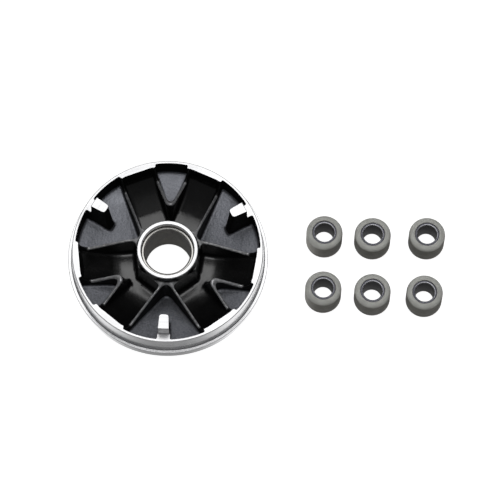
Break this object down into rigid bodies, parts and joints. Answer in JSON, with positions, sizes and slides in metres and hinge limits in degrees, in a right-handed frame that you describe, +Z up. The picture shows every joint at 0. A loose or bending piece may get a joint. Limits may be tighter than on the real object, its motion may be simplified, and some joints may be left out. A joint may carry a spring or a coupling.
{
  "type": "cvt variator pulley set",
  "caption": "Movable drive pulley half of a scooter belt drive: a ramped bowl with hub bush and guide posts, and its loose roller weights beside it.",
  "frame": {"origin": "centre of the whole laid-out set in plan, on the plane that the pulley's hub and the rollers stand on", "axes": "+X runs from the pulley towards the rollers, +Z is up along the pulley's and the rollers' axes, +Y completes the frame and points to the upper row of rollers"},
  "size_m": [0.1662, 0.088, 0.029],
  "materials": {
    "black_coated_aluminium": "die-cast aluminium, satin black coated inside, machined bright on the rim, flange, belt face, hub face and post tops",
    "sintered_bush": "grey dry-bearing liner, satin, with bright chamfers",
    "roller_resin": "matte olive-grey moulded resin",
    "roller_core_steel": "dark steel with bright chamfers"
  },
  "bodies": {
    "pulley": {"pulley_body": "black_coated_aluminium", "hub_bush": "sintered_bush"},
    "roller_1": {"roller_1_tyre": "roller_resin", "roller_1_core": "roller_core_steel"},
    "roller_2": {"roller_2_tyre": "roller_resin", "roller_2_core": "roller_core_steel"},
    "roller_3": {"roller_3_tyre": "roller_resin", "roller_3_core": "roller_core_steel"},
    "roller_4": {"roller_4_tyre": "roller_resin", "roller_4_core": "roller_core_steel"},
    "roller_5": {"roller_5_tyre": "roller_resin", "roller_5_core": "roller_core_steel"},
    "roller_6": {"roller_6_tyre": "roller_resin", "roller_6_core": "roller_core_steel"}
  },
  "joints": [
    {"name": "roller_1_lift", "type": "slide", "parent": "pulley", "child": "roller_1", "axis": [0, 0, 1], "range_m": [0, 0.04]},
    {"name": "roller_2_lift", "type": "slide", "parent": "pulley", "child": "roller_2", "axis": [0, 0, 1], "range_m": [0, 0.04]},
    {"name": "roller_3_lift", "type": "slide", "parent": "pulley", "child": "roller_3", "axis": [0, 0, 1], "range_m": [0, 0.04]},
    {"name": "roller_4_lift", "type": "slide", "parent": "pulley", "child": "roller_4", "axis": [0, 0, 1], "range_m": [0, 0.04]},
    {"name": "roller_5_lift", "type": "slide", "parent": "pulley", "child": "roller_5", "axis": [0, 0, 1], "range_m": [0, 0.04]},
    {"name": "roller_6_lift", "type": "slide", "parent": "pulley", "child": "roller_6", "axis": [0, 0, 1], "range_m": [0, 0.04]}
  ]
}
